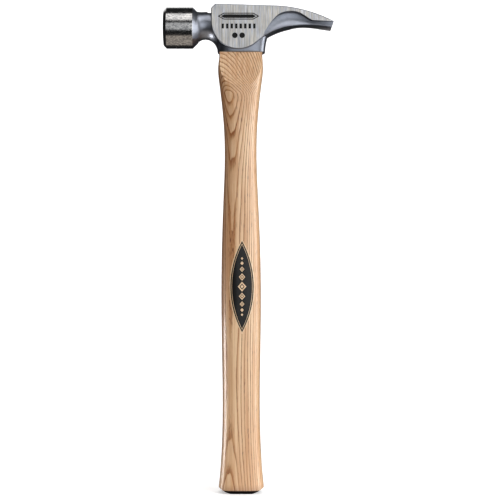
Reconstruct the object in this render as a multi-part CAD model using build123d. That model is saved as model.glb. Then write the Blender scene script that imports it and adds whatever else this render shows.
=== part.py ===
from build123d import *

import math
import os

# A framing hammer with a straight claw: a cast titanium head wedged on a hickory handle.
# Millimetres. +Z runs up the handle from the butt, -X points to the striking face, +X to the claw, and
# Y is the head's thickness. The origin is the centre of the butt's flat end.

OVERALL_LENGTH = 457.2

# Head: cheek and claw
HALF_THICKNESS = 15.0
CHEEK_X = -2.5
CHEEK_Z = 440.7
CHEEK_RADIUS = 25.6
BODY_FRONT_X = CHEEK_X - CHEEK_RADIUS
BROW_CHAMFER = 4.0
TOP_FALL = 0.03
CLAW_BEND_X = 30.0
CLAW_TIP = (86.4, 440.9)
THROAT_ANGLE = -49.0
SIDE_EDGE_RADIUS = 0.8
UNDERSIDE_CREST = (60.0, 437.8)
CLAW_HEEL = (84.6, 435.6)
# Hollow between the edges of the claw's underside: X and depth
UNDERSIDE_HOLLOW = (
    (27.2, 0.6),
    (36.7, 1.4),
    (46.2, 1.7),
    (55.6, 2.0),
    (65.1, 2.5),
    (74.6, 3.4),
    (85.2, 4.2),
    (92.0, 4.6),
)
UNDERSIDE_EDGE_WIDTH = 1.5
HOLLOW_CUT_DEPTH = 12.0

# Scoop in each side of the claw: its upper edge in X and Z, how far its upper wall leans for each unit of
# depth, then the round cutter's path as X, height of its centre and the depth it reaches
SCOOP_EDGE = ((20.0, 426.5), (27.7, 440.0), (35.6, 447.8), (46.0, 450.4), (56.5, 447.9), (66.5, 441.9))
SCOOP_TAIL = (90.0, 440.4)
SCOOP_BOTTOM_Z = 415.0
SCOOP_WALL_LEAN = 0.35
SCOOP_WALL_Y = (-19.0, -7.0)
SCOOP_RADIUS = 14.0
SCOOP_PATH = (
    (18.0, 427.0, 0.3),
    (31.0, 440.0, 2.6),
    (45.0, 445.4, 4.8),
    (60.0, 443.6, 4.2),
    (75.0, 440.6, 2.0),
    (92.0, 438.0, 1.3),
)

# Nail slot between the two tines
SLOT_ROOT_X = 50.4
SLOT_ROOT_RADIUS = 2.6
SLOT_MOUTH_HALF = 4.9
SLOT_FLARE = 8.0
SLOT_LOW_Z = 425.0
SLOT_HIGH_Z = 456.5
SLOT_OVERRUN = 10.0
TINE_SKEW = 5.0

# Striking poll and neck
POLL_Z = 436.5
POLL_RADIUS = 19.4
POLL_FRONT_X = -73.5
POLL_BACK_X = -45.6
FACE_CROWN = 0.5
FACE_BEVEL = 2.9
BACK_BEVEL = 5.2
NECK_FLAT_Z = 451.0
# Neck sections: X, height of the centre, half height, half thickness
NECK_SECTIONS = (
    (-42.5, 436.8, 16.4, 16.4),
    (-38.5, 438.0, 13.7, 13.1),
    (-34.0, 438.7, 13.2, 12.4),
    (-29.5, 438.3, 13.7, 12.6),
    (-25.5, 436.4, 14.7, 13.0),
    (-22.3, 433.4, 18.3, 13.0),
)
NECK_CUTTER = 60.0

# Collar and the eye that the handle passes through
COLLAR_BOTTOM_Z = 412.6
COLLAR_SECTIONS = ((COLLAR_BOTTOM_Z, 22.3, 12.7), (421.8, 23.2, 12.9), (431.0, 25.6, 13.2))
COLLAR_SQUARENESS = 3.8
COLLAR_EDGE_RADIUS = 1.0
# Eye sections: height, half width, half depth. It narrows to a waist, then opens for the wedges
EYE_SECTIONS = ((411.0, 19.0, 9.8), (430.0, 18.4, 9.5), (459.0, 20.2, 10.9))
EYE_SQUARENESS = 3.2
FIT_GAP = 0.04

# Nail starter on top of the poll, and its magnet
NAIL_GROOVE_RADIUS = 2.5
NAIL_AXIS_Z = 455.2
NAIL_HEAD_RADIUS = 3.0
NAIL_HEAD_X = -29.6
NAIL_HEAD_Z = 452.4
NAIL_HEAD_WIDTH = 14.0
NAIL_HEAD_ROOM = 10.0
NAIL_GROOVE_OVERRUN = 4.0
MAGNET_RADIUS = 3.2
MAGNET_HEIGHT = 3.0
MAGNET_X = -37.2
MAGNET_GAP = 0.05
MAGNET_RECESS = 0.1

# Enamel filled marks on one cheek: a pointed bar, a row of short rules and two dots
MARK_DEPTH = 0.3
BADGE_LENGTH = 39.0
BADGE_HEIGHT = 6.4
BADGE_POINT = 0.9 * BADGE_HEIGHT
BADGE_BORDER = 0.9
BADGE_CORE_INSET = 1.5
BADGE_Z = 445.4
RULE_Z = 436.2
RULE_COUNT = 8
RULE_PITCH = 4.2
RULE_SIZE = (2.3, 4.6)
DOT_Z = 427.6
DOT_RADIUS = 2.6
DOT_OFFSET = 3.4

# Handle sections from the butt up: height, centre along X, width, depth along Y, squareness of the oval
HANDLE_SECTIONS = (
    (3.3, 0.0, 43.0, 30.2, 3.2),
    (20.0, 0.0, 39.6, 29.2, 3.1),
    (45.0, 0.0, 36.4, 28.2, 3.0),
    (95.0, -0.1, 35.0, 27.6, 2.9),
    (175.0, -0.1, 37.2, 28.8, 2.8),
    (240.0, -0.3, 35.4, 27.8, 2.8),
    (280.0, -0.5, 32.2, 26.2, 2.8),
    (314.0, -0.6, 30.0, 25.4, 2.8),
    (345.0, -0.7, 31.6, 26.8, 3.0),
    (370.0, -0.8, 36.2, 30.2, 3.6),
    (386.0, -0.8, 40.2, 33.0, 4.2),
    (396.0, -0.7, 42.2, 34.0, 4.6),
    (405.0, -0.5, 41.2, 34.0, 4.8),
    (COLLAR_BOTTOM_Z, -0.5, 40.6, 34.0, 4.8),
)
BUTT_FLAT_HALF = 10.0
BUTT_DOME = ((14.5, 1.5), (23.0, 6.9))
BUTT_FACE = (36.4, 24.0)
CUTTER_HALF = 40.0
SHOULDER_CUT_LOW = (378.6, 16.6)
SHOULDER_CUT_HIGH = (COLLAR_BOTTOM_Z, 11.6)
SHOULDER_CUT_RUN_IN = 12.0
SHOULDER_CUT_RUN_OUT = 5.0
TENON_TOP_Z = 455.4
TENON_INTO_GRIP = 1.0
ABOVE_HEAD_Z = OVERALL_LENGTH + 10.0

# Wedges: one of wood along the eye, two of steel across it
KERF_TOP_HALF = 1.9
KERF_BOTTOM_HALF = 0.35
KERF_BOTTOM_Z = 424.0
KERF_HALF_LENGTH = 30.0
WOOD_WEDGE_TOP_Z = 455.2
STEEL_WEDGE_X = (-8.5, 8.5)
STEEL_WEDGE_WIDTH = 14.0
STEEL_WEDGE_DEPTH = 13.0
STEEL_WEDGE_HALF = 1.2
STEEL_WEDGE_TOP_Z = 455.0
# Half thickness down one face of a steel wedge, as depth below its top and share of the full half
STEEL_WEDGE_STEPS = ((0.0, 1.0), (1.0, 1.0), (6.5, 0.65), (6.51, 0.75), (STEEL_WEDGE_DEPTH, 0.2))

# Label set into the lacquer on one side of the handle
LABEL_X = 0.8
LABEL_Z = 193.6
LABEL_LENGTH = 88.7
LABEL_WIDTH = 23.5
LABEL_THICKNESS = 0.12
LABEL_CUTTER_Y = -30.0


def oval(width, depth, squareness, z):
    """A closed oval face at height z: squareness 2 is an ellipse, and more fills out its corners."""
    points = []
    for step in range(32):
        angle = 2 * math.pi * step / 32
        across = abs(2 * math.cos(angle) / width) ** squareness
        along = abs(2 * math.sin(angle) / depth) ** squareness
        radius = (across + along) ** (-1 / squareness)
        points.append((radius * math.cos(angle), radius * math.sin(angle), z))
    return make_face(Spline(*points, periodic=True))


def from_side(face, y_low, y_high):
    """A face drawn in X and Z, made solid between two values of Y."""
    return Plane.XZ.offset(-y_high) * extrude(face, amount=y_high - y_low)


def polygon_from_side(points, y_low, y_high):
    return from_side(make_face(Polyline(*points, close=True)), y_low, y_high)


def across_x(x, z, half_height, half_depth):
    """An ellipse square to X."""
    return Plane((x, 0, z), x_dir=(0, 1, 0), z_dir=(1, 0, 0)) * Ellipse(half_depth, half_height)


def both_sides(solid):
    return solid + mirror(solid, about=Plane.XZ)


def underside_arcs():
    """The claw's underside as two arcs, flowing on from the round of the cheek."""
    turn = math.radians(THROAT_ANGLE)
    throat = (CHEEK_X + CHEEK_RADIUS * math.cos(turn), CHEEK_Z + CHEEK_RADIUS * math.sin(turn))
    inner = TangentArc(throat, UNDERSIDE_CREST, tangent=(-math.sin(turn), math.cos(turn)))
    outer = TangentArc(UNDERSIDE_CREST, CLAW_HEEL, tangent=inner % 1)
    return inner, outer


def underside_z(x):
    """Height of the claw's underside at its edges."""
    inner, outer = underside_arcs()
    arc = inner if x < UNDERSIDE_CREST[0] else outer
    centre = arc.arc_center
    return centre.Y + math.sqrt(arc.radius**2 - (x - centre.X) ** 2)


def cheek_and_claw():
    """The flat sided plate that is cheek in front and claw behind, with a softened edge all round."""
    brow = (BODY_FRONT_X + BROW_CHAMFER, OVERALL_LENGTH)
    bend = (CLAW_BEND_X, OVERALL_LENGTH - TOP_FALL * (CLAW_BEND_X - brow[0]))
    front = Polyline((BODY_FRONT_X, CHEEK_Z), (BODY_FRONT_X, OVERALL_LENGTH - BROW_CHAMFER), brow, bend)
    claw_top = TangentArc(bend, CLAW_TIP, tangent=(1, -TOP_FALL))
    tip = Line(CLAW_TIP, CLAW_HEEL)
    inner, outer = underside_arcs()
    cheek = ThreePointArc(inner @ 0, (CHEEK_X, CHEEK_Z - CHEEK_RADIUS), (BODY_FRONT_X, CHEEK_Z))
    outline = make_face([*front.edges(), claw_top, tip, outer, inner, cheek])
    plate = from_side(outline, -HALF_THICKNESS, HALF_THICKNESS)
    return fillet(plate.faces().filter_by(Axis.Y).edges(), SIDE_EDGE_RADIUS)


def scoop_region(y):
    """The outline below the claw's top strip. It drops with depth, so that the scoop's upper wall leans."""
    drop = SCOOP_WALL_LEAN * (y + HALF_THICKNESS)
    points = [(x, z - drop) for x, z in SCOOP_EDGE]
    tail = (SCOOP_TAIL[0], SCOOP_TAIL[1] - drop)
    left = (points[0][0], SCOOP_BOTTOM_Z)
    right = (tail[0], SCOOP_BOTTOM_Z)
    edge = Spline(*points, tangents=[(0.35, 1.0), (1.0, -0.2)], tangent_scalars=[1.0, 0.6])
    rest = Polyline(points[-1], tail, right, left, points[0])
    return Plane.XZ.offset(-y) * make_face([edge, *rest.edges()])


def scoop():
    """The hollow cut into the -Y side of the claw under its top strip."""
    region = loft([scoop_region(y) for y in SCOOP_WALL_Y], ruled=True)
    sections = []
    for x, z, depth in SCOOP_PATH:
        centre = (x, -HALF_THICKNESS - SCOOP_RADIUS + depth, z)
        sections.append(Plane(centre, x_dir=(0, 1, 0), z_dir=(1, 0, 0)) * Circle(SCOOP_RADIUS))
    return region & loft(sections)


def underside_hollow():
    """The hollow along the underside of the claw. It deepens towards the tip, so the tines grip a nail."""
    half = HALF_THICKNESS - UNDERSIDE_EDGE_WIDTH
    sections = []
    for x, depth in UNDERSIDE_HOLLOW:
        crown = ThreePointArc((-half, 0), (0, depth), (half, 0))
        below = Polyline((half, 0), (half, -HOLLOW_CUT_DEPTH), (-half, -HOLLOW_CUT_DEPTH), (-half, 0))
        upright = Plane((x, 0, underside_z(x)), x_dir=(0, 1, 0), z_dir=(1, 0, 0))
        sections.append(upright * make_face([crown, *below.edges()]))
    return loft(sections)


def slot_outline(z):
    """The nail slot in plan. Its walls lean, so that it is wider on the claw's underside."""
    lean = (CLAW_TIP[1] - z) * math.tan(math.radians(SLOT_FLARE))
    root = SLOT_ROOT_RADIUS + lean
    mouth = SLOT_MOUTH_HALF + lean
    sides = Polyline((SLOT_ROOT_X, root), (CLAW_TIP[0], mouth), (CLAW_TIP[0] + SLOT_OVERRUN, mouth))
    other = mirror(sides, about=Plane.XZ)
    end = Line(sides @ 1, other @ 1)
    rounded = ThreePointArc(sides @ 0, (SLOT_ROOT_X - root, 0), other @ 0)
    return Pos(0, 0, z) * make_face([*sides.edges(), *other.edges(), end, rounded])


def nail_slot():
    """The slot between the tines, with what is ground off to skew each tine's end."""
    slot = loft([slot_outline(SLOT_LOW_Z), slot_outline(SLOT_HIGH_Z)], ruled=True)
    outer_x, inner_x = CLAW_TIP[0], CLAW_TIP[0] - TINE_SKEW
    skew = Polyline((outer_x + 1, 0), (outer_x + 1, HALF_THICKNESS), (outer_x, HALF_THICKNESS),
                    (inner_x, SLOT_MOUTH_HALF), (inner_x, 0), close=True)
    trim = Pos(0, 0, SLOT_LOW_Z) * extrude(make_face(skew), amount=SLOT_HIGH_Z - SLOT_LOW_Z)
    return slot + both_sides(trim)


def poll():
    """The round striking end: crowned face, bevelled edge, straight barrel and a cone at the back."""
    radius = POLL_RADIUS
    rim = radius - FACE_BEVEL
    face = ThreePointArc((0, 0), (rim / 2, FACE_CROWN / 4), (rim, FACE_CROWN))
    side = Polyline(
        (rim, FACE_CROWN),
        (radius, FACE_CROWN + FACE_BEVEL),
        (radius, POLL_BACK_X - POLL_FRONT_X),
        (radius - BACK_BEVEL, POLL_BACK_X - POLL_FRONT_X + BACK_BEVEL),
        (0, POLL_BACK_X - POLL_FRONT_X + BACK_BEVEL),
        (0, 0),
    )
    profile = make_face([face, *side.edges()])
    turned = revolve(Plane.XZ * profile, Axis.Z)
    return Plane((POLL_FRONT_X, 0, POLL_Z), x_dir=(0, 1, 0), z_dir=(1, 0, 0)) * turned


def neck():
    body = loft([across_x(*section) for section in NECK_SECTIONS])
    middle_x = NECK_SECTIONS[2][0]
    above = Pos(middle_x, 0, NECK_FLAT_Z + NECK_CUTTER / 2) * Box(NECK_CUTTER, NECK_CUTTER, NECK_CUTTER)
    return body - above


def collar():
    """The socket below the cheeks, flaring into them."""
    body = loft([oval(2 * x, 2 * y, COLLAR_SQUARENESS, z) for z, x, y in COLLAR_SECTIONS])
    return fillet(body.faces().sort_by(Axis.Z)[0].edges(), COLLAR_EDGE_RADIUS)


def eye(gap):
    """The tapering eye, or with a gap the tenon that fills it."""
    sections = [oval(2 * (x - gap), 2 * (y - gap), EYE_SQUARENESS, z) for z, x, y in EYE_SECTIONS]
    return loft(sections)


def nail_starter():
    """Groove for a nail's shank along the poll, a seat for its head and a pocket for the magnet."""
    start_x = POLL_FRONT_X - NAIL_GROOVE_OVERRUN
    length = BODY_FRONT_X - start_x
    along = Pos(start_x + length / 2, 0, NAIL_AXIS_Z) * Rot(0, 90, 0)
    groove = along * Cylinder(NAIL_GROOVE_RADIUS, length)
    across = Pos(NAIL_HEAD_X, 0, NAIL_HEAD_Z) * Rot(90, 0, 0)
    seat = across * Cylinder(NAIL_HEAD_RADIUS, NAIL_HEAD_WIDTH)
    room = Pos(NAIL_HEAD_X, 0, NAIL_HEAD_Z + NAIL_HEAD_ROOM / 2)
    seat += room * Box(2 * NAIL_HEAD_RADIUS, NAIL_HEAD_WIDTH, NAIL_HEAD_ROOM)
    pocket = Pos(MAGNET_X, 0, NECK_FLAT_Z) * Cylinder(MAGNET_RADIUS + MAGNET_GAP, 2 * MAGNET_HEIGHT)
    return groove + seat + pocket


def nail_magnet():
    height = MAGNET_HEIGHT - 2 * MAGNET_RECESS
    middle_z = NECK_FLAT_Z - MAGNET_RECESS - height / 2
    return Pos(MAGNET_X, 0, middle_z) * Cylinder(MAGNET_RADIUS, height)


def cheek_marks(extra=0.0):
    """The enamel in the -Y cheek, or with extra the recesses cut for it."""
    half = BADGE_LENGTH / 2
    shoulder = half - BADGE_POINT
    rise = BADGE_HEIGHT / 2
    upper = ((-half, 0), (-shoulder, rise), (shoulder, rise))
    lower = ((half, 0), (shoulder, -rise), (-shoulder, -rise))
    bar = make_face(Polyline(*upper, *lower, close=True))
    inner = offset(bar, -BADGE_BORDER)
    core = offset(bar, -BADGE_CORE_INSET)
    marks = Pos(CHEEK_X, BADGE_Z) * ((bar - inner) + core)
    for step in range(RULE_COUNT):
        x = CHEEK_X + (step - (RULE_COUNT - 1) / 2) * RULE_PITCH
        marks += Pos(x, RULE_Z) * Rectangle(*RULE_SIZE)
    for side in (-1, 1):
        marks += Pos(CHEEK_X + side * DOT_OFFSET, DOT_Z) * Circle(DOT_RADIUS)
    return from_side(marks, -HALF_THICKNESS - extra, -HALF_THICKNESS + MARK_DEPTH)


def head():
    body = cheek_and_claw() - both_sides(scoop()) - underside_hollow() - nail_slot()
    body += poll()
    body += neck()
    body += collar()
    body -= eye(0.0)
    body -= nail_starter()
    body -= cheek_marks(extra=1.0)
    return body


def butt_limits():
    """Everything above the domed and bevelled butt end."""
    flat = ((-BUTT_FLAT_HALF, 0), (BUTT_FLAT_HALF, 0))
    right = BUTT_DOME
    left = tuple((-x, z) for x, z in reversed(BUTT_DOME))
    top = ((BUTT_DOME[-1][0], OVERALL_LENGTH), (-BUTT_DOME[-1][0], OVERALL_LENGTH))
    return polygon_from_side((*flat, *right, *top, *left), -CUTTER_HALF, CUTTER_HALF)


def shoulder_waste():
    """What the saw takes off the -Y side where the handle slopes in to meet the head."""
    low_z, low_y = SHOULDER_CUT_LOW
    high_z, high_y = SHOULDER_CUT_HIGH
    slope = (high_y - low_y) / (high_z - low_z)
    start_z = low_z - SHOULDER_CUT_RUN_IN
    end_z = high_z + SHOULDER_CUT_RUN_OUT
    outline = (
        (-(low_y + slope * (start_z - low_z)), start_z),
        (-(low_y + slope * (end_z - low_z)), end_z),
        (-CUTTER_HALF, end_z),
        (-CUTTER_HALF, start_z),
    )
    return extrude(Plane.YZ * make_face(Polyline(*outline, close=True)), amount=CUTTER_HALF, both=True)


def kerf(top_z):
    """The saw kerf along the tenon, opened by its wedge. Above the wedge its walls are parallel."""
    half, low = KERF_TOP_HALF, KERF_BOTTOM_HALF
    outline = (
        (-half, top_z),
        (half, top_z),
        (half, WOOD_WEDGE_TOP_Z),
        (low, KERF_BOTTOM_Z),
        (-low, KERF_BOTTOM_Z),
        (-half, WOOD_WEDGE_TOP_Z),
    )
    return extrude(Plane.YZ * make_face(Polyline(*outline, close=True)), amount=KERF_HALF_LENGTH, both=True)


def steel_wedge(x, top_z=STEEL_WEDGE_TOP_Z):
    """A steel wedge driven across the eye. Two shallow steps on each face keep it from backing out."""
    right = [(STEEL_WEDGE_HALF * share, STEEL_WEDGE_TOP_Z - depth) for depth, share in STEEL_WEDGE_STEPS]
    right[0] = (STEEL_WEDGE_HALF, top_z)
    left = [(-across, z) for across, z in reversed(right)]
    return Pos(x, 0, 0) * polygon_from_side((*right, *left), -STEEL_WEDGE_WIDTH / 2, STEEL_WEDGE_WIDTH / 2)


def steel_wedges(top_z):
    first, second = (steel_wedge(x, top_z) for x in STEEL_WEDGE_X)
    return first + second


def tenon_envelope(top_z):
    """The part of the eye that wood fills."""
    height = top_z - COLLAR_BOTTOM_Z + TENON_INTO_GRIP
    return eye(FIT_GAP) & Pos(0, 0, top_z - height / 2) * Box(2 * CUTTER_HALF, 2 * CUTTER_HALF, height)


def grip_loft(skin):
    """The handle's smooth shape, with an even skin added all round."""
    sections = []
    for z, x, width, depth, squareness in HANDLE_SECTIONS:
        sections.append(Pos(x, 0, 0) * oval(width + 2 * skin, depth + 2 * skin, squareness, z))
    return loft(sections)


def grip():
    """The shaped handle below the head."""
    body = grip_loft(0)
    z, x, width, depth, squareness = HANDLE_SECTIONS[0]
    bevel = loft([oval(*BUTT_FACE, squareness, 0), oval(width, depth, squareness, z)], ruled=True)
    body = (body + bevel) & butt_limits()
    return body - shoulder_waste() - mirror(shoulder_waste(), about=Plane.XZ)


def handle():
    return grip() + tenon_envelope(TENON_TOP_Z) - kerf(ABOVE_HEAD_Z) - steel_wedges(ABOVE_HEAD_Z)


def wood_wedge():
    whole = kerf(ABOVE_HEAD_Z) & tenon_envelope(WOOD_WEDGE_TOP_Z)
    return whole - steel_wedges(ABOVE_HEAD_Z)


def label_outline(length, width):
    """A pointed oval, drawn in X and Z."""
    half_length, half_width = length / 2, width / 2
    right = ThreePointArc((0, -half_length), (half_width, 0), (0, half_length))
    left = ThreePointArc((0, half_length), (-half_width, 0), (0, -half_length))
    return Pos(LABEL_X, LABEL_Z) * make_face([right, left])


def handle_label():
    """A thin skin that follows the handle's -Y side."""
    outer = grip_loft(LABEL_THICKNESS)
    window = from_side(label_outline(LABEL_LENGTH, LABEL_WIDTH), LABEL_CUTTER_Y, 0)
    return (outer & window) - grip_loft(0)


PARTS = {
    "head": head(),
    "handle": handle(),
    "wood_wedge": wood_wedge(),
    "steel_wedge_front": steel_wedge(STEEL_WEDGE_X[0]),
    "steel_wedge_rear": steel_wedge(STEEL_WEDGE_X[1]),
    "nail_magnet": nail_magnet(),
    "cheek_mark_enamel": cheek_marks(),
    "handle_label": handle_label(),
}

os.makedirs("parts", exist_ok=True)
for name, shape in PARTS.items():
    export_step(shape, f"parts/{name}.step")
    print(name, round(shape.volume / 1000, 2), "cm3")
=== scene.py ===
import math

import bpy
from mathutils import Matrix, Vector


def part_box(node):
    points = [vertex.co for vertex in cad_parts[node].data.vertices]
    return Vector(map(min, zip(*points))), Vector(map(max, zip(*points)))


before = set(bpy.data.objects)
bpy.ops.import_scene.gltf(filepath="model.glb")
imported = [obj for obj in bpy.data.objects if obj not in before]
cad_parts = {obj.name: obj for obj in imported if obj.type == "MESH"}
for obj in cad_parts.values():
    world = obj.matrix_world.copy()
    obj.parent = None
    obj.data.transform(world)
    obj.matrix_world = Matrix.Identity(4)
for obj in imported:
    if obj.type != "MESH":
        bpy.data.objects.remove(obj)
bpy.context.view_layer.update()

# A framing hammer standing on its butt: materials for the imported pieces, a pale floor, soft lights and
# the camera. Metres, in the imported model's own frame: +Z up the handle, -X to the face, -Y to the camera.

MM = 0.001


class Graph:
    """A small builder for one material's nodes. Values may be sockets, numbers, or tuples."""

    def __init__(self, name):
        self.material = bpy.data.materials.new(name)
        self.material.use_nodes = True
        self.tree = self.material.node_tree
        self.tree.nodes.clear()
        self.out = self.tree.nodes.new("ShaderNodeOutputMaterial")
        coordinates = self.tree.nodes.new("ShaderNodeTexCoord")
        self.position = coordinates.outputs["Object"]
        geometry = self.tree.nodes.new("ShaderNodeNewGeometry")
        self.normal = geometry.outputs["Normal"]

    def feed(self, socket, value):
        if isinstance(value, bpy.types.NodeSocket):
            self.tree.links.new(value, socket)
        elif isinstance(value, (tuple, list)) and socket.type == "RGBA" and len(value) == 3:
            socket.default_value = (*value, 1.0)
        else:
            socket.default_value = value

    def math(self, operation, a, b=0.0, c=0.0, clamp=False):
        node = self.tree.nodes.new("ShaderNodeMath")
        node.operation = operation
        node.use_clamp = clamp
        for socket, value in zip(node.inputs, (a, b, c)):
            self.feed(socket, value)
        return node.outputs[0]

    def add(self, a, b):
        return self.math("ADD", a, b)

    def sub(self, a, b):
        return self.math("SUBTRACT", a, b)

    def mul(self, a, b):
        return self.math("MULTIPLY", a, b)

    def split(self, vector):
        node = self.tree.nodes.new("ShaderNodeSeparateXYZ")
        self.feed(node.inputs[0], vector)
        return node.outputs[0], node.outputs[1], node.outputs[2]

    def join(self, x, y, z):
        node = self.tree.nodes.new("ShaderNodeCombineXYZ")
        for socket, value in zip(node.inputs, (x, y, z)):
            self.feed(socket, value)
        return node.outputs[0]

    def scaled(self, vector, scale):
        node = self.tree.nodes.new("ShaderNodeVectorMath")
        node.operation = "MULTIPLY"
        self.feed(node.inputs[0], vector)
        self.feed(node.inputs[1], scale)
        return node.outputs[0]

    def noise(self, vector, scale=1.0, detail=2.0, rough=0.5):
        node = self.tree.nodes.new("ShaderNodeTexNoise")
        self.feed(node.inputs["Vector"], vector)
        node.inputs["Scale"].default_value = scale
        node.inputs["Detail"].default_value = detail
        node.inputs["Roughness"].default_value = rough
        return node.outputs["Fac"]

    def remap(self, value, low, high, to_low=0.0, to_high=1.0, smooth=False):
        node = self.tree.nodes.new("ShaderNodeMapRange")
        node.interpolation_type = "SMOOTHSTEP" if smooth else "LINEAR"
        for socket, item in zip(node.inputs, (value, low, high, to_low, to_high)):
            self.feed(socket, item)
        return node.outputs[0]

    def ramp(self, value, stops):
        node = self.tree.nodes.new("ShaderNodeValToRGB")
        self.feed(node.inputs[0], value)
        elements = node.color_ramp.elements
        while len(elements) < len(stops):
            elements.new(0.5)
        for element, (place, colour) in zip(elements, stops):
            element.position = place
            element.color = (*colour, 1.0)
        return node.outputs[0]

    def mix(self, factor, a, b, blend="MIX"):
        node = self.tree.nodes.new("ShaderNodeMix")
        node.data_type = "RGBA"
        node.blend_type = blend
        self.feed(node.inputs["Factor"], factor)
        self.feed(node.inputs[6], a)
        self.feed(node.inputs[7], b)
        return node.outputs[2]

    def bump(self, height, strength, distance):
        node = self.tree.nodes.new("ShaderNodeBump")
        node.inputs["Strength"].default_value = strength
        node.inputs["Distance"].default_value = distance
        self.feed(node.inputs["Height"], height)
        return node.outputs[0]

    def surface(self, **sockets):
        shader = self.tree.nodes.new("ShaderNodeBsdfPrincipled")
        for name, value in sockets.items():
            self.feed(shader.inputs[name.replace("_", " ")], value)
        self.tree.links.new(shader.outputs[0], self.out.inputs["Surface"])
        return self.material


def srgb(text):
    """A colour written as sRGB hex, in the linear values that the shaders use."""
    values = (int(text[i:i + 2], 16) / 255 for i in (0, 2, 4))
    return tuple(v / 12.92 if v <= 0.04045 else ((v + 0.055) / 1.055) ** 2.4 for v in values)


# Wood: growth rings about a pith that runs in front of the handle and to its poll side. The pith comes
# nearer the handle away from PITH_TURN_Z. Above SHOULDER_Z it leans off and swings to the poll side,
# which slants the rings where the shoulder is cut.

RING_PITCH = 1.95 * MM
RING_WANDER = 5.0 * MM
RING_RIPPLE = 1.4 * MM
PITH_X = -16.5 * MM
PITH_FRONT = 41 * MM
PITH_BOW = 0.16
PITH_TURN_Z = 150 * MM
SHOULDER_Z = 374 * MM
SHOULDER_BLEND = (368 * MM, 392 * MM)
SHOULDER_RUNOUT = 0.42
SHOULDER_SHIFT = 11 * MM
GRAIN_RELIEF = 0.12 * MM
LACQUER_RELIEF = 0.12 * MM
LACQUER_WAVES = (70.0, 70.0, 24.0)
BUTT_PAINTED_SHADE_Z = (8.5 * MM, 7.0 * MM)
BUTT_SHADE_Z = (9.0 * MM, 3.5 * MM)


def wood(name, light, mid, dark, pore, gloss_coat, painted_butt_shade=False):
    """Ring-porous hardwood, cut nearly along its grain: growth rings, pores and a lacquer coat, optionally
    with painted shade on the butt.
    """
    g = Graph(name)
    x, y, z = g.split(g.position)
    warp = g.noise(g.scaled(g.position, (24.0, 24.0, 4.0)), detail=2.0, rough=0.45)
    warp_fine = g.noise(g.scaled(g.position, (170.0, 170.0, 14.0)), detail=2.0, rough=0.5)
    along = g.sub(z, PITH_TURN_Z)
    bow = g.mul(g.mul(along, along), PITH_BOW)
    swing = g.remap(z, *SHOULDER_BLEND, 0.0, SHOULDER_SHIFT, smooth=True)
    across = g.add(g.sub(x, PITH_X), swing)
    depth = g.add(g.sub(PITH_FRONT, bow), y)
    runout = g.mul(g.math("MAXIMUM", g.sub(z, SHOULDER_Z), 0.0), SHOULDER_RUNOUT)
    depth = g.add(depth, runout)
    radius = g.math("SQRT", g.add(g.mul(across, across), g.mul(depth, depth)))
    radius = g.add(radius, g.mul(g.sub(warp, 0.5), RING_WANDER))
    radius = g.add(radius, g.mul(g.sub(warp_fine, 0.5), RING_RIPPLE))
    ring = g.math("DIVIDE", radius, RING_PITCH)
    phase = g.math("FRACT", ring)
    year = g.noise(g.join(g.math("FLOOR", ring), 0.0, 0.0), scale=0.73, detail=0.0)
    early = g.ramp(phase, [(0.0, (1.0,) * 3), (0.10, (0.95,) * 3), (0.34, (0.38,) * 3), (0.62, (0.08,) * 3),
                           (0.93, (0.0,) * 3), (1.0, (0.55,) * 3)])
    early = g.mul(early, g.remap(year, 0.3, 0.7, 0.62, 1.0))

    fibre = g.noise(g.scaled(g.position, (1300.0, 1300.0, 42.0)), detail=3.0, rough=0.6)
    streak = g.noise(g.scaled(g.position, (380.0, 380.0, 8.0)), detail=2.0, rough=0.5)
    cloud = g.noise(g.scaled(g.position, (30.0, 30.0, 9.0)), detail=1.0)
    vessels = g.noise(g.scaled(g.position, (1500.0, 1500.0, 170.0)), detail=1.0, rough=0.4)
    open_pore = g.remap(vessels, 0.60, 0.68, smooth=True)
    pores = g.mul(open_pore, g.remap(early, 0.15, 0.7, 0.06, 1.0))

    colour = g.mix(g.mul(early, 0.85), light, mid)
    colour = g.mix(g.mul(g.remap(early, 0.35, 0.95), g.remap(fibre, 0.35, 0.60, 0.5, 1.0)), colour, dark)
    colour = g.mix(g.remap(streak, 0.40, 0.70, 0.0, 0.55), colour, mid)
    colour = g.mix(g.remap(cloud, 0.35, 0.75, 0.0, 0.45), colour, mid)
    colour = g.mix(g.remap(fibre, 0.52, 0.75, 0.0, 0.35), colour, mid, blend="MULTIPLY")
    colour = g.mix(g.mul(pores, 0.80), colour, pore)
    rough = g.add(0.46, g.mul(fibre, 0.12))
    # Painted shade: the bevel at the butt that faces down is painted near-black, and the wood is painted
    # darker towards the bottom of the butt
    if painted_butt_shade:
        facing_down = g.remap(g.split(g.normal)[2], -0.25, -0.55)
        near_butt = g.remap(z, *BUTT_PAINTED_SHADE_Z)
        colour = g.mix(g.mul(facing_down, near_butt), colour, srgb("24120a"))
        edge = g.mul(g.remap(z, *BUTT_SHADE_Z), 0.35)
        colour = g.mix(edge, colour, srgb("7a4a22"), blend="MULTIPLY")
    relief = g.sub(g.mul(fibre, 0.25), pores)
    relief_normal = g.bump(relief, 0.35, GRAIN_RELIEF)
    lacquer_waves = g.noise(g.scaled(g.position, LACQUER_WAVES), detail=2.0)
    coat_relief = g.add(g.mul(relief, 0.10), lacquer_waves)
    coat_normal = g.bump(coat_relief, 0.25, LACQUER_RELIEF)
    return g.surface(Base_Color=colour, Roughness=rough, Normal=relief_normal, IOR=1.5,
                     Coat_Weight=gloss_coat, Coat_Roughness=0.17, Coat_IOR=1.5, Coat_Normal=coat_normal)


# Head: how far out the linished cheeks stand, where the linished top begins behind the neck, and where
# the turned poll ends

CHEEK_Y = (14.6 * MM, 14.8 * MM)
TOP_X = (-27 * MM, -26 * MM)
TURNED_X = (-45.2 * MM, -45.6 * MM)


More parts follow.
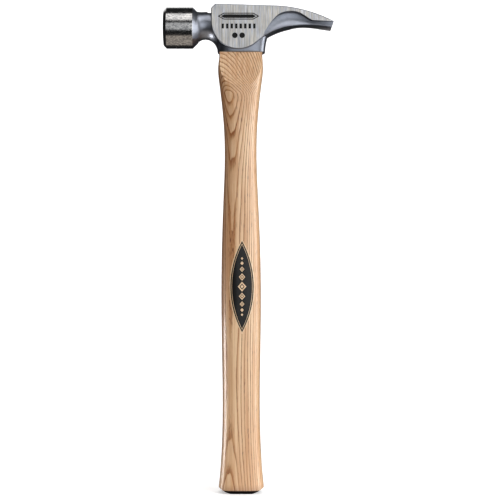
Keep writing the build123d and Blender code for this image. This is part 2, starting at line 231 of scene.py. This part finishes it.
def head_metal():
    """Cast titanium: linished flat sides, turned poll, and fine cast skin everywhere else."""
    g = Graph("cast_titanium")
    x, y, _ = g.split(g.position)
    _, normal_y, normal_z = g.split(g.normal)
    side = g.remap(g.math("ABSOLUTE", normal_y), 0.985, 0.997)
    side = g.mul(side, g.remap(g.math("ABSOLUTE", y), *CHEEK_Y))
    up = g.mul(g.remap(normal_z, 0.90, 0.96), g.remap(x, *TOP_X))
    flat = g.math("MAXIMUM", side, up)
    turned = g.remap(x, *TURNED_X)

    # Belt grinding marks run up and down the flat sides
    belt_fine = g.noise(g.scaled(g.position, (2600.0, 2600.0, 70.0)), detail=2.0, rough=0.7)
    belt_wide = g.noise(g.scaled(g.position, (1300.0, 1300.0, 45.0)), detail=2.0, rough=0.6)
    belt = g.add(g.mul(belt_fine, 0.5), g.mul(belt_wide, 0.5))
    tint = g.noise(g.scaled(g.position, (1100.0, 1100.0, 90.0)), detail=1.0)
    # Turning marks run round the poll
    lathe = g.noise(g.scaled(g.position, (3600.0, 120.0, 120.0)), detail=2.0, rough=0.65)
    mottle = g.noise(g.scaled(g.position, (420.0, 700.0, 700.0)), detail=4.0, rough=0.6)
    patch = g.noise(g.position, scale=90.0, detail=2.0, rough=0.5)
    # Cast skin
    grit = g.noise(g.position, scale=2600.0, detail=3.0, rough=0.6)
    skin = g.noise(g.position, scale=420.0, detail=3.0, rough=0.6)

    cast_colour = g.mix(skin, srgb("868a94"), srgb("a4a8b2"))
    belt_tint = g.mix(g.remap(tint, 0.35, 0.65), srgb("e6e8ee"), srgb("ebe7df"))
    belt_dark = g.mix(g.remap(tint, 0.35, 0.65), srgb("a0a2a8"), srgb("a6a39d"))
    belt_colour = g.mix(g.remap(belt, 0.36, 0.62), belt_dark, belt_tint)
    turned_colour = g.mix(g.remap(mottle, 0.35, 0.65), srgb("8b8a8b"), srgb("c4c2bf"))
    colour = g.mix(flat, cast_colour, belt_colour)
    colour = g.mix(turned, colour, turned_colour)
    colour = g.mix(g.mul(g.remap(patch, 0.45, 0.8), 0.20), colour, srgb("6d6a66"))

    rough_cast = g.add(0.29, g.mul(skin, 0.12))
    rough_belt = g.add(0.44, g.mul(belt, 0.24))
    rough_turned = g.add(0.13, g.mul(mottle, 0.14))
    rough = g.math("MULTIPLY_ADD", g.sub(rough_belt, rough_cast), flat, rough_cast)
    rough = g.math("MULTIPLY_ADD", g.sub(rough_turned, rough), turned, rough)

    height_cast = g.add(g.mul(grit, 0.25), g.mul(skin, 0.45))
    height_belt = g.mul(belt, 0.9)
    height_turned = g.add(g.mul(lathe, 0.22), g.mul(mottle, 0.10))
    height = g.math("MULTIPLY_ADD", g.sub(height_belt, height_cast), flat, height_cast)
    height = g.math("MULTIPLY_ADD", g.sub(height_turned, height), turned, height)
    bumped = g.bump(height, 0.5, 0.06 * MM)
    return g.surface(Base_Color=colour, Metallic=1.0, Roughness=rough, Normal=bumped)


def enamel():
    """Dull black fill of the marks on the cheek."""
    g = Graph("black_enamel")
    specks = g.noise(g.position, scale=1500.0, detail=3.0, rough=0.6)
    colour = g.mix(g.remap(specks, 0.4, 0.75), srgb("040404"), srgb("101010"))
    rough = g.add(0.5, g.mul(specks, 0.3))
    return g.surface(Base_Color=colour, Roughness=rough, Normal=g.bump(specks, 0.3, 0.05 * MM),
                     Specular_IOR_Level=0.25)


# Label, in millimetres: place along the label and half-length of each lozenge, the share of it that is
# hollow and the share filled again, and the lines round the edge

LOZENGES = ((0.0, 4.6), (9.0, 3.4), (16.2, 2.5), (21.8, 1.8), (26.2, 1.3))
LOZENGE_LEAN = 1.15
LOZENGE_EDGE = 0.08
HOLLOW_ABOVE = 2.0
HOLLOW_SHARE = 0.62
CORE_SHARE = 0.36
BORDER = (0.85, 0.97)
PIN_LINE = (2.0, 2.35)
PIN_EDGE = 0.06


def label_print():
    """Black printed transfer with cream lines: a plain double border and a column of lozenges."""
    g = Graph("label_print")
    low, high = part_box("handle_label")
    centre_x, centre_z = (low.x + high.x) / 2, (low.z + high.z) / 2
    half_x, half_z = (high.x - low.x) / 2, (high.z - low.z) / 2
    arc = (half_z ** 2 + half_x ** 2) / (2 * half_x)
    x, _, z = g.split(g.position)
    from_axis = g.math("ABSOLUTE", g.sub(x, centre_x))
    along = g.sub(z, centre_z)
    out_x = g.add(from_axis, arc - half_x)
    inside = g.sub(arc, g.math("SQRT", g.add(g.mul(out_x, out_x), g.mul(along, along))))

    def within(value, limit, edge):
        """1 where the value is under the limit and 0 past it, both in millimetres, with a soft edge."""
        return g.remap(value, (limit - edge) * MM, (limit + edge) * MM, 1.0, 0.0)

    border = g.remap(inside, BORDER[0] * MM, BORDER[1] * MM, 1.0, 0.0)
    past_start = g.remap(inside, (PIN_LINE[0] - PIN_EDGE) * MM, (PIN_LINE[0] + PIN_EDGE) * MM)
    pin_line = g.mul(past_start, within(inside, PIN_LINE[1], PIN_EDGE))
    marks = g.math("MAXIMUM", border, pin_line)
    spread = g.math("ABSOLUTE", along)
    lean = g.mul(from_axis, LOZENGE_LEAN)
    for place, size in LOZENGES:
        reach = g.add(lean, g.math("ABSOLUTE", g.sub(spread, place * MM)))
        marks = g.math("MAXIMUM", marks, within(reach, size, LOZENGE_EDGE))
        if size > HOLLOW_ABOVE:
            hollow = within(reach, size * HOLLOW_SHARE, LOZENGE_EDGE)
            core = within(reach, size * CORE_SHARE, LOZENGE_EDGE)
            marks = g.sub(marks, g.sub(hollow, core))
    wear = g.noise(g.scaled(g.position, (900.0, 900.0, 260.0)), detail=4.0, rough=0.65)
    ink = g.mix(g.remap(wear, 0.45, 0.8), srgb("060505"), srgb("1a1716"))
    cream = g.mix(g.remap(wear, 0.3, 0.7), srgb("f2d9b8"), srgb("d9b68c"))
    colour = g.mix(g.math("MULTIPLY", marks, 1.0, clamp=True), ink, cream)
    rough = g.add(0.35, g.mul(wear, 0.15))
    waves = g.noise(g.scaled(g.position, LACQUER_WAVES), detail=2.0)
    return g.surface(Base_Color=colour, Roughness=rough, Specular_IOR_Level=0.3, Coat_Weight=0.25,
                     Coat_Roughness=0.12, Coat_Normal=g.bump(waves, 0.25, LACQUER_RELIEF))


def plain_metal(name, low, high, rough_low, rough_high, scale):
    """Bare metal between two tones and two roughnesses, with a fine grain."""
    g = Graph(name)
    grain = g.noise(g.position, scale=scale, detail=4.0, rough=0.65)
    colour = g.mix(grain, srgb(low), srgb(high))
    rough = g.remap(grain, 0.3, 0.7, rough_low, rough_high)
    return g.surface(Base_Color=colour, Metallic=1.0, Roughness=rough, Normal=g.bump(grain, 0.4, 0.05 * MM))


HICKORY = wood("lacquered_hickory", srgb("f7dab2"), srgb("bd7e44"), srgb("74340c"), srgb("54280e"), 0.7,
               painted_butt_shade=True)
HARDWOOD = wood("wedge_hardwood", srgb("8f5f3a"), srgb("6f4526"), srgb("4b2c16"), srgb("2a170b"), 0.3)
LOOKS = {
    "head": head_metal(),
    "handle": HICKORY,
    "wood_wedge": HARDWOOD,
    "steel_wedge_front": plain_metal("wedge_steel", "5d5750", "8f8a84", 0.3, 0.55, 900.0),
    "nail_magnet": plain_metal("magnet_nickel", "b9b6ae", "d8d5cd", 0.12, 0.25, 700.0),
    "cheek_mark_enamel": enamel(),
    "handle_label": label_print(),
}
LOOKS["steel_wedge_rear"] = LOOKS["steel_wedge_front"]

for node, look in LOOKS.items():
    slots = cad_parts[node].data.materials
    for index in range(len(slots)):
        slots[index] = look
    if not len(slots):
        slots.append(look)


# Floor, backdrop and lights

def backdrop():
    """A pale round floor that sweeps up into a wall all round the hammer."""
    hub, radius, height, bend = 0.3, 3.2, 5.0, 1.2
    sweep_steps, sides = 12, 96
    profile = [(hub, 0.0)]
    for step in range(sweep_steps + 1):
        angle = math.pi / 2 * step / sweep_steps
        profile.append((radius - bend + bend * math.sin(angle), bend - bend * math.cos(angle)))
    profile.append((radius, height))
    turns = [2 * math.pi * side / sides for side in range(sides)]
    vertices = [(0.0, 0.0, 0.0)]
    vertices += [(r * math.cos(turn), r * math.sin(turn), z) for r, z in profile for turn in turns]
    faces = [(0, 1 + side, 1 + (side + 1) % sides) for side in range(sides)]
    for ring in range(len(profile) - 1):
        inner, outer = 1 + ring * sides, 1 + (ring + 1) * sides
        for side in range(sides):
            after = (side + 1) % sides
            faces.append((inner + side, outer + side, outer + after, inner + after))
    mesh = bpy.data.meshes.new("floor")
    mesh.from_pydata(vertices, [], faces)
    mesh.polygons.foreach_set("use_smooth", [True] * len(faces))
    floor = bpy.data.objects.new("floor", mesh)
    bpy.context.scene.collection.objects.link(floor)
    g = Graph("pale_floor")
    tooth = g.noise(g.position, scale=60.0, detail=3.0)
    pale = g.mix(tooth, (0.86, 0.86, 0.86), (0.89, 0.89, 0.89))
    mesh.materials.append(g.surface(Base_Color=pale, Roughness=0.85, Emission_Color=(1.0, 1.0, 1.0),
                                    Emission_Strength=0.45))
    return floor


def soft_box(name, place, target, size, power, colour, in_reflections, on_matt):
    """One rectangular lamp aimed at a target and never seen by the camera."""
    light = bpy.data.lights.new(name, "AREA")
    light.shape = "RECTANGLE"
    light.size, light.size_y = size
    light.energy = power
    light.color = colour
    lamp = bpy.data.objects.new(name, light)
    bpy.context.scene.collection.objects.link(lamp)
    lamp.location = place
    lamp.rotation_mode = "QUATERNION"
    lamp.rotation_quaternion = (Vector(target) - Vector(place)).to_track_quat("-Z", "Y")
    lamp.visible_camera = False
    lamp.visible_glossy = in_reflections
    lamp.visible_diffuse = on_matt


WHITE = (1.0, 1.0, 1.0)
MIDDLE = (0.0, 0.0, 0.25)
KEY_PLACE = (1.36, -0.90, 0.46)
KEY_SIZE = (1.7, 1.5)
COOL = (0.94, 0.97, 1.0)
CREAM = (1.0, 0.9, 0.8)
AMBER = (1.0, 0.42, 0.12)

# Name, place, target, size, power in watts, colour, seen in reflections, lights matt surfaces. The
# sheens are cards seen only as reflections in the lacquer and the metal.
LIGHTS = (
    ("overhead", (0.65, -1.13, 1.90), (0.65, -1.13, 0.0), (1.9, 1.64), 19.5, WHITE, True, True),
    ("key_right", KEY_PLACE, MIDDLE, KEY_SIZE, 30.0, WHITE, False, True),
    ("front_fill", (0.60, -2.4, 0.5), MIDDLE, (1.9, 1.8), 12.0, COOL, True, True),
    ("floor_bounce", (-0.05, -0.08, 0.003), (-0.05, -0.08, 1.0), (0.8, 0.6), 0.8, CREAM, True, True),
    ("wall_wash", (0.0, 1.2, 2.6), (0.0, 3.0, 0.6), (4.0, 1.2), 90.0, WHITE, False, True),
    ("back_fill", (-0.4, 1.9, 1.5), MIDDLE, (1.8, 0.9), 6.0, WHITE, True, True),
    ("warm_left", (-1.2, -0.5, 0.25), MIDDLE, (0.6, 1.2), 2.2, AMBER, False, True),
    ("sheen_left", (-0.30, 0.01, 0.075), (0.0, 0.01, 0.075), (0.16, 0.15), 0.8, WHITE, True, False),
    ("sheen_key", KEY_PLACE, MIDDLE, KEY_SIZE, 46.0, WHITE, True, False),
    ("sheen_right", (1.40, -0.24, 0.36), MIDDLE, (0.6, 1.3), 8.0, WHITE, True, False),
)
WORLD_COLOUR = (0.85, 0.92, 1.0, 1.0)
WORLD_STRENGTH = 0.018

# The room is only a background: it lights nothing and shows in no reflection
room = backdrop()
room.visible_glossy = False
room.visible_diffuse = False
for light in LIGHTS:
    soft_box(*light)

world = bpy.data.worlds.new("studio")
world.use_nodes = True
background = world.node_tree.nodes["Background"]
background.inputs["Color"].default_value = WORLD_COLOUR
background.inputs["Strength"].default_value = WORLD_STRENGTH
bpy.context.scene.world = world
bpy.context.scene.view_settings.view_transform = "Standard"

# Camera: level, square to the cheek, at half the height of the hammer

CAMERA_PLACE = (8.2 * MM, -1.430, 227.7 * MM)
CAMERA_LENS = 109.45
CAMERA_SENSOR = 36.0

camera_data = bpy.data.cameras.new("camera")
camera_data.sensor_width = CAMERA_SENSOR
camera_data.lens = CAMERA_LENS
camera = bpy.data.objects.new("camera", camera_data)
bpy.context.scene.collection.objects.link(camera)
camera.location = CAMERA_PLACE
camera.rotation_euler = (math.pi / 2, 0.0, 0.0)
bpy.context.scene.camera = camera
